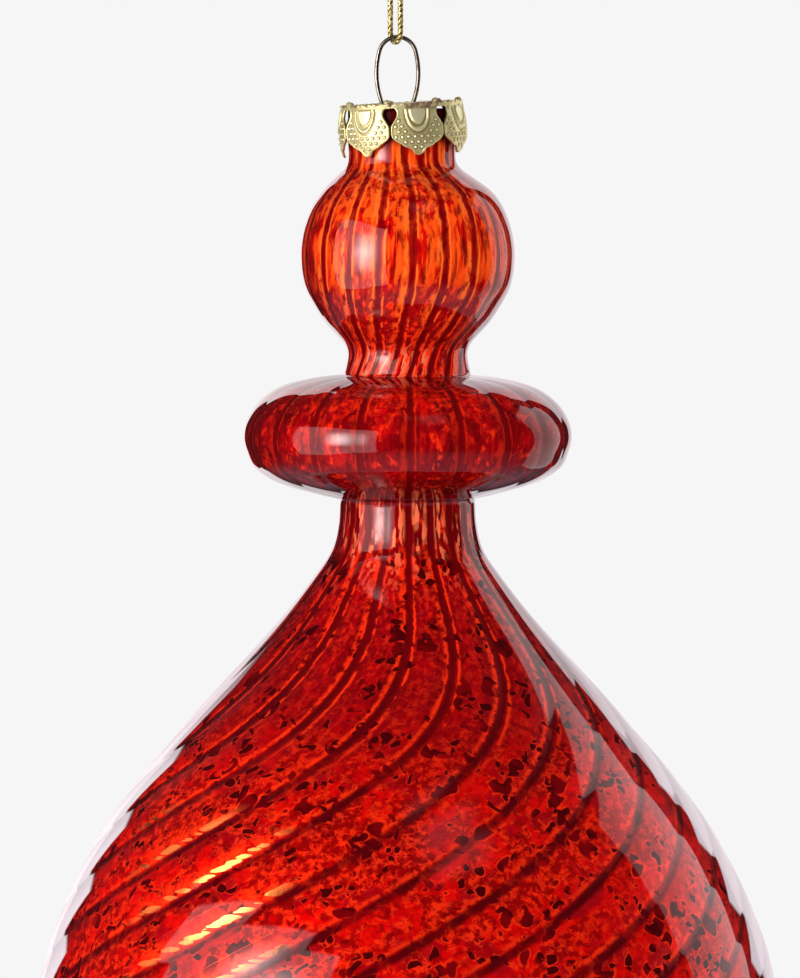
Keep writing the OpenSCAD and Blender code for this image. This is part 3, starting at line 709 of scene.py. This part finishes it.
def petalRelief(x, depth, outline):
    # stamped height at x across and depth down a petal, and how far up a pearl that is: a rim, a shield with one
    # ridge between two moats and a pad in its middle, and rows of pearls, each in a moat
    m = stamp
    rim = humps(nearest(x, depth, outline) - m["rimIn"], m["rimWide"], m["rimHigh"])
    shield = ovalAt(x, depth)
    raised = humps(shield, m["ridgeWide"], m["ridgeHigh"])
    raised = raised + m["padHigh"] * ease((-shield - m["padIn"]) / m["padRamp"])
    moat = (np.abs(np.abs(shield) - m["moatAt"]) < m["moatHalf"]) & (depth > m["ovalTop"])
    raised = raised * ease((depth - m["startsAt"]) / m["startRamp"]) - m["sunk"] * moat
    gx, gy = np.meshgrid(np.arange(-8, 9) * m["pitch"], np.arange(m["pearlRows"]), indexing="ij")
    gx, gy = gx + m["pitch"] * 0.5 * (gy % 2), m["firstRow"] + gy * m["pitch"] * m["rowPitch"]
    dots = np.stack([gx.ravel(), gy.ravel()], -1)
    half = cap["halfPitch"] - np.interp(dots[:, 1], gapForm[:, 0], gapForm[:, 1])
    onPetal = (np.abs(dots[:, 0]) < half) & (nearest(dots[:, 0], dots[:, 1], outline) > m["fromEdge"])
    dots = dots[onPetal & (ovalAt(dots[:, 0], dots[:, 1]) > m["fromShield"])]
    away = nearest(x, depth, dots)
    pearl = np.sqrt(np.clip(1 - (away / m["pearlR"]) ** 2, 0, 1))
    moat = (away < m["pearlR"] + m["moatWide"]) & (away > m["pearlR"])
    return rim + raised + m["pearlHigh"] * pearl - m["sunk"] * moat, pearl


def makePetals():
    # a petal's columns run across its outer face, which carries the relief, and back a sheet further in
    c = cap
    depth = np.interp(np.linspace(0, 1, c["rows"]), [0, 0.3, 0.68, 1], [0.3, 2.1, 5.0, 7.2])
    half = c["halfPitch"] - np.interp(depth, gapForm[:, 0], gapForm[:, 1])
    half[-1] = 0.02
    u = np.concatenate([np.linspace(-1, 1, c["across"]), np.linspace(1, -1, c["inside"])])
    x = half[:, None] * u[None, :]
    d = np.broadcast_to(depth[:, None], x.shape)
    side = smoothThrough(np.stack([c["halfPitch"] - gapForm[:, 1], gapForm[:, 0]], -1), 160)
    height, pearl = petalRelief(x[:, :c["across"]], d[:, :c["across"]], np.concatenate([side, side * [-1, 1]]))
    out = np.concatenate([height, np.full((c["rows"], c["inside"]), -c["sheet"])], 1)
    pearl = np.concatenate([pearl, np.zeros((c["rows"], c["inside"]))], 1)
    # a petal spans the arc between two gaps, and x is measured straight across from either gap's middle
    step = 2 * math.pi / c["petals"]
    reach = skirtRadius(depth)[:, None]
    fromGap = np.arcsin(np.clip((c["halfPitch"] - np.abs(x)) / reach, -1, 1))
    middle = np.arcsin(np.clip(c["halfPitch"] / reach, -1, 1))
    turn = np.where(np.abs(x) < 1e-9, 0.0, np.sign(x) * (step / 2 - fromGap))
    turn = turn - np.sign(x) * (step / 2 - middle) * (1 - np.abs(x) / c["halfPitch"])
    k = np.arange(c["petals"])[:, None, None]
    a = turn[None] + (k + 0.5) * step - math.radians(c["gapStart"])
    points = turned((skirtRadius(d) + out)[None], a, -d[None])
    wide = c["across"] + c["inside"]
    shift = k * c["rows"] * wide
    quads = (gridFaces(c["rows"], wide)[:, ::-1][None] + shift).reshape(-1, 4)
    # a lid on a petal's first and last rows joins each point of the outer face to the nearest of the inner face
    i = np.arange(c["across"] - 1)
    inner = wide - 1 - np.rint(np.arange(c["across"]) * (c["inside"] - 1) / (c["across"] - 1)).astype(int)
    lid = np.stack([i, i + 1, inner[:-1]], -1)
    lid = np.concatenate([lid, np.stack([i + 1, inner[1:], inner[:-1]], -1)[inner[1:] != inner[:-1]]])
    lids = np.concatenate([lid, lid[:, ::-1] + (c["rows"] - 1) * wide])
    tells = {key: np.broadcast_to(v[None], a.shape).ravel() for key, v in (("stamped", out), ("pearl", pearl))}
    lids = (lids[None] + shift).reshape(-1, 3)
    return makeMesh("cap_petals", capPlace(points.reshape(-1, 3)) * mm, quads, lids, tells)


def makeCapTop():
    # plate, rolled edge with small crimps, and the band that the petals hang from, as one closed turning
    r, count = roll, roll["around"]
    bead = np.radians(np.linspace(150, -40, 20))
    bead = np.stack([r["r"] + r["bead"] * np.cos(bead), r["z"] + r["bead"] * np.sin(bead)], -1)
    plate = np.array([[0.02, 0], [2.6, 0], [3.2, 0.05], [3.6, 0.10], [4.0, 0.05], [4.6, 0], [6.8, 0], [7.6, 0]])
    band = np.array([[8.54, -0.4], [8.56, -0.6], [8.24, -0.6], [8.2, -0.35], [7.9, -0.3], [0.02, -0.3]])
    profile = np.concatenate([plate, bead, band])[:, None]
    onRoll = np.concatenate([0 * plate[:, 0], np.sin(np.linspace(0, math.pi, len(bead))), 0 * band[:, 0]])
    a = np.linspace(0, 2 * math.pi, count, endpoint=False)
    crimps = r["crimpDeep"] * np.sin(r["crimps"] * a) + r["waveDeep"] * np.sin(r["waves"] * a + r["wavesFrom"])
    crimps = onRoll[:, None] * crimps[None]
    points = turned(profile[..., 0] + crimps, a, profile[..., 1] + crimps * r["down"]).reshape(-1, 3)
    points = np.concatenate([points, [[0, 0, 0], [0, 0, -seat["plate"]]]])
    n = len(profile)
    fans = np.concatenate([fan(0, count, n * count), fan((n - 1) * count, count, n * count + 1)[:, ::-1]])
    return makeMesh("cap_top", capPlace(points) * mm, gridFaces(n, count)[:, ::-1], fans)


def makeKnobs():
    # small domes at the cap's edge over each gap, with flat bases
    c, r, rings, sides = cap, cap["knobR"], cap["knobRings"], cap["knobSides"]
    e = np.linspace(0, math.pi / 2, rings + 1)[:-1, None]
    a = np.linspace(0, 2 * math.pi, sides, endpoint=False)
    dome = np.stack(np.broadcast_arrays(r * np.cos(e) * np.cos(a), r * np.cos(e) * np.sin(a), r * np.sin(e)), -1)
    dome = np.concatenate([dome.reshape(-1, 3), [[0, 0, r], [0, 0, 0]]])
    gaps = np.arange(c["petals"]) * 2 * math.pi / c["petals"] - math.radians(c["gapStart"])
    points = (dome[None] + turned(c["r"] - r, gaps, -c["knobSunk"])[:, None]).reshape(-1, 3)
    shift = (np.arange(c["petals"]) * len(dome))[:, None, None]
    quads = (gridFaces(rings, sides)[None] + shift).reshape(-1, 4)
    count = rings * sides
    fans = np.concatenate([fan(count - sides, sides, count), fan(0, sides, count + 1)[:, ::-1]])
    return makeMesh("cap_knobs", capPlace(points) * mm, quads, (fans[None] + shift).reshape(-1, 3))


def brassCap():
    # pale satin brass: bright where it stands out, dull in the hollows, brown in patches at the rolled edge;
    # the pearls' polished tops are painted near white as highlights
    material, start, feed = surface("stampedBrass", Metallic=0.72, Specular_IOR_Level=0.6)
    stamped, pearl = attribute(start, "stamped", "Fac"), attribute(start, "pearl", "Fac")
    tarnish = start.noise(420.0, 4.0, 0.6)
    scratch = start.scaled(1.0, 1.0, 0.25).noise(2600.0, 2.0)
    colour = tarnish.rise(0.35, 0.7).blend(brass["pale"], brass["dull"])
    colour = (stamped.rise(0.06, 0.18) * 0.8).blend(colour, brass["raised"])
    colour = (stamped.rise(0.0, -0.02) * 0.75).blend(colour, brass["hollow"])
    # painted highlight: near white on the pearls' polished tops
    colour = (pearl.rise(0.3, 0.8) * 0.8).blend(colour, brass["pearl"])
    worn = (start.part("Z") * (1 / mm)).rise(*brass["brownZ"]) * start.noise(850.0, 2.0).rise(0.48, 0.60)
    colour = (worn * 0.85).blend(colour, brass["brown"])
    feed(Base_Color=colour, Roughness=0.30 + 0.22 * tarnish - 0.14 * pearl,
         Normal=bump(scratch + tarnish, 0.35, 0.00004))
    return material


def slotted(piece):
    # cuts the two slots for the wire's legs through the plate
    box = np.array([[x, y, z] for z in (-1, 1) for y in (-1, 1) for x in (-1, 1)]) * cap["slotHalf"]
    faces = [[0, 2, 3, 1], [4, 5, 7, 6], [0, 1, 5, 4], [2, 6, 7, 3], [0, 4, 6, 2], [1, 3, 7, 5]]
    cutters = [makeMesh("slotCutter", (box + [x, 0, seat["z"]]) * mm, faces, smooth=False)
               for x in (-cap["slotX"], cap["slotX"])]
    for cutter in cutters:
        cut = piece.modifiers.new("slot", "BOOLEAN")
        cut.operation, cut.solver, cut.object = "DIFFERENCE", "EXACT", cutter
    bpy.context.view_layer.update()
    whole = piece.evaluated_get(bpy.context.evaluated_depsgraph_get())
    mesh = bpy.data.meshes.new_from_object(whole)
    piece.modifiers.clear()
    piece.data = mesh
    for cutter in cutters:
        bpy.data.objects.remove(cutter)


stampedBrass = brassCap()
capPetals, capTop, capKnobs = makePetals(), makeCapTop(), makeKnobs()
slotted(capTop)
for piece in (capPetals, capTop, capKnobs):
    piece.data.materials.clear()
    piece.data.materials.append(stampedBrass)
    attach(piece, "root")
    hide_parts("cap")
print("cap made")


# Wire hanger: each half is a chain of bends, its heading 0 level and 90 straight down
wire = {"r": 0.3, "around": 20, "innerR": 6.1, "neckX": 0.63, "room": 0.03, "footX": 2.8095, "crown": (2.6, 75.0),
        "flank": (12.0, 110.63), "leg": 0.9, "spread": (-1.5, 40.0), "ankle": (1.5, 90.0), "foot": 2.5,
        "dark": (0.12, 0.09, 0.07, 1.0), "pale": (0.50, 0.43, 0.36, 1.0), "rust": (0.09, 0.045, 0.025, 1.0)}


def wireHalf(side):
    # each stretch is a bend's radius and last heading, or 0 and a straight's length; along a bend x grows by its
    # radius times the change of the heading's sine, and z falls by that of its cosine
    w = wire
    slant = w["innerR"] + side * w["neckX"] - w["r"] - w["room"] - w["footX"]
    slant = slant / math.cos(math.radians(w["spread"][1]))
    x, z, heading, line = 0.0, w["r"], 0.0, []
    bends = w["crown"], w["flank"], (0, w["leg"]), w["spread"], (0, slant), w["ankle"], (0, w["foot"])
    for radius, to in bends:
        if radius == 0:
            share = np.linspace(0, 1, 7)[1:] * to
            h = math.radians(heading)
            line.append(np.stack([x + share * math.cos(h), 0 * share, z - share * math.sin(h)], -1))
        else:
            turn = np.radians(np.linspace(heading, to, max(4, int(abs(to - heading) / 3)) + 1)[1:])
            h = math.radians(heading)
            line.append(np.stack([x + radius * (np.sin(turn) - math.sin(h)), 0 * turn,
                                  z - radius * (math.cos(h) - np.cos(turn))], -1))
            heading = to
        x, _, z = line[-1][-1]
    return np.concatenate(line)


def springWire():
    # dark drawn spring steel with fine die lines along it
    material, start, feed = surface("springWire", Metallic=1.0)
    along = attribute(start, "strandCoords")
    lines = along.scaled(1.0, 1.0, 0.04).noise(9.0, 3.0)
    rust = along.noise(0.9, 3.0)
    colour = lines.rise(0.35, 0.65).blend(wire["dark"], wire["pale"])
    colour = (rust.rise(0.52, 0.68) * 0.6).blend(colour, wire["rust"])
    feed(Base_Color=colour, Roughness=0.22 + 0.25 * lines, Normal=bump(lines, 0.3, 0.00003))
    return material


wireLine = np.concatenate([wireHalf(-1)[::-1] * [-1, 1, 1], [[0, 0, wire["r"]]], wireHalf(1)])
wireProfile = {"around": wire["around"], "half": wire["r"], "radius": lambda u, s: wire["r"] + 0 * u + 0 * s}
wirePiece = strand("wire_hanger", wireLine, wireProfile, (0.0, 1.0, 0.0))
wirePiece.data.materials.append(springWire())
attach(wirePiece, "root")
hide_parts("hanger_wire")
print("wire made")


# Floor, world and lamps
studio = {"floorZ": -0.5, "floorHalf": 1.15, "floorTones": (0.395, 0.405), "floorGlow": 0.60, "backdrop": 0.9216,
          "fill": 0.8, "gap": 0.02, "underside": (0.34, 0.34, 0.42, 1.0), "below": (-0.35, -0.75),
          "middle": -0.07}


def makeFloor():
    h = studio["floorHalf"]
    corners = np.array([[-h, -h, 0], [h, -h, 0], [h, h, 0], [-h, h, 0]]) + [0, 0, studio["floorZ"]]
    floor = makeMesh("floor", corners, [[0, 1, 2, 3]], smooth=False)
    # a little light of its own brings the far floor up to the backdrop, so no edge shows
    material, start, feed = surface("paleFloor", Roughness=0.8, Emission_Color=(1.0, 1.0, 1.0, 1.0),
                                    Emission_Strength=studio["floorGlow"], Specular_IOR_Level=0.0)
    dark, pale = ((tone,) * 3 + (1.0,) for tone in studio["floorTones"])
    feed(Base_Color=start.noise(3.0, 2.0).blend(dark, pale))
    floor.data.materials.append(material)
    floor.visible_glossy = False


def makeWorld():
    # the camera sees one pale tone, matt surfaces get a soft fill, and reflections see a dim room
    world = bpy.data.worlds.new("studio")
    bpy.context.scene.world = world
    world.use_nodes = True
    tree = world.node_tree
    tree.nodes.clear()
    rays = tree.nodes.new("ShaderNodeLightPath")
    seen, fill = Signal(tree, rays.outputs["Is Camera Ray"]), Signal(tree, rays.outputs["Is Diffuse Ray"])
    # a little of the pale floor comes back from steeply below
    below = Signal(tree, tree.nodes.new("ShaderNodeTexCoord").outputs["Generated"]).part("Z")
    below = below.rise(*studio["below"])
    gap, soft, backdrop = ((studio[key],) * 3 + (1.0,) for key in ("gap", "fill", "backdrop"))
    tone = seen.blend(fill.blend(below.blend(gap, studio["underside"]), soft), backdrop)
    sky = seen.add("ShaderNodeBackground", {"Color": tone, "Strength": 1.0})
    seen.add("ShaderNodeOutputWorld", {0: sky})


def makeLamp(name, azimuth, elevation, distance, size, radiance, edge=0.05, tint=(1.0, 1.0, 1.0), ends=(1.0, 1.0),
             shows=True):
    # a softbox facing the ornament's middle, fading over a share of its width at each edge;
    # azimuth runs from the front to the right
    lamp = bpy.data.lights.new(name, "AREA")
    lamp.shape = "RECTANGLE"
    lamp.size, lamp.size_y = size
    lamp.energy = radiance * math.pi * size[0] * size[1]
    lamp.color = tint
    lamp.use_nodes = True
    tree = lamp.node_tree
    tree.nodes.clear()
    place = Signal(tree, tree.nodes.new("ShaderNodeNewGeometry").outputs["Parametric"])
    u, v = place.part("X"), place.part("Y")
    fade = u.rise(0.0, edge) * u.rise(1.0, 1.0 - edge) * v.rise(0.0, edge) * v.rise(1.0, 1.0 - edge)
    fade = fade * (u * (ends[1] - ends[0]) + ends[0])
    place.add("ShaderNodeOutputLight", {0: place.add("ShaderNodeEmission", {"Strength": fade})})
    holder = bpy.data.objects.new(name, lamp)
    a, e = math.radians(azimuth), math.radians(elevation)
    away = np.array([math.sin(a) * math.cos(e), -math.cos(a) * math.cos(e), math.sin(e)])
    holder.location = away * distance + [0.0, 0.0, studio["middle"]]
    holder.rotation_euler = (math.pi / 2 - e, 0.0, a)
    holder.visible_camera, holder.visible_glossy = False, shows
    bpy.context.scene.collection.objects.link(holder)


makeFloor()
makeWorld()
makeLamp("softboxWide", -55, 2, 0.75, (0.94, 1.0), 1.5, 0.03)
makeLamp("softboxHeart", -46.5, 8, 0.60, (0.41, 0.48), 13.0, 0.5)
makeLamp("panelRight", 118, 4, 0.75, (0.46, 1.2), 1.35, 0.02, ends=(0.55, 1.0))
makeLamp("rearLeft", -169, 10, 0.90, (0.34, 1.2), 2.2, 0.02, (1.0, 0.92, 0.95), (0.35, 1.0))
makeLamp("rearRight", 165, 10, 0.90, (0.50, 1.2), 1.7, 0.02, (0.97, 0.91, 0.96), (1.0, 0.65))
makeLamp("overhead", 25, 58, 0.60, (0.3, 0.25), 0.35, 0.35)
makeLamp("fillRight", 70, 5, 0.90, (0.6, 0.8), 2.2, 0.2, shows=False)
print("studio set")

bpy.context.scene.view_settings.view_transform = "Standard"
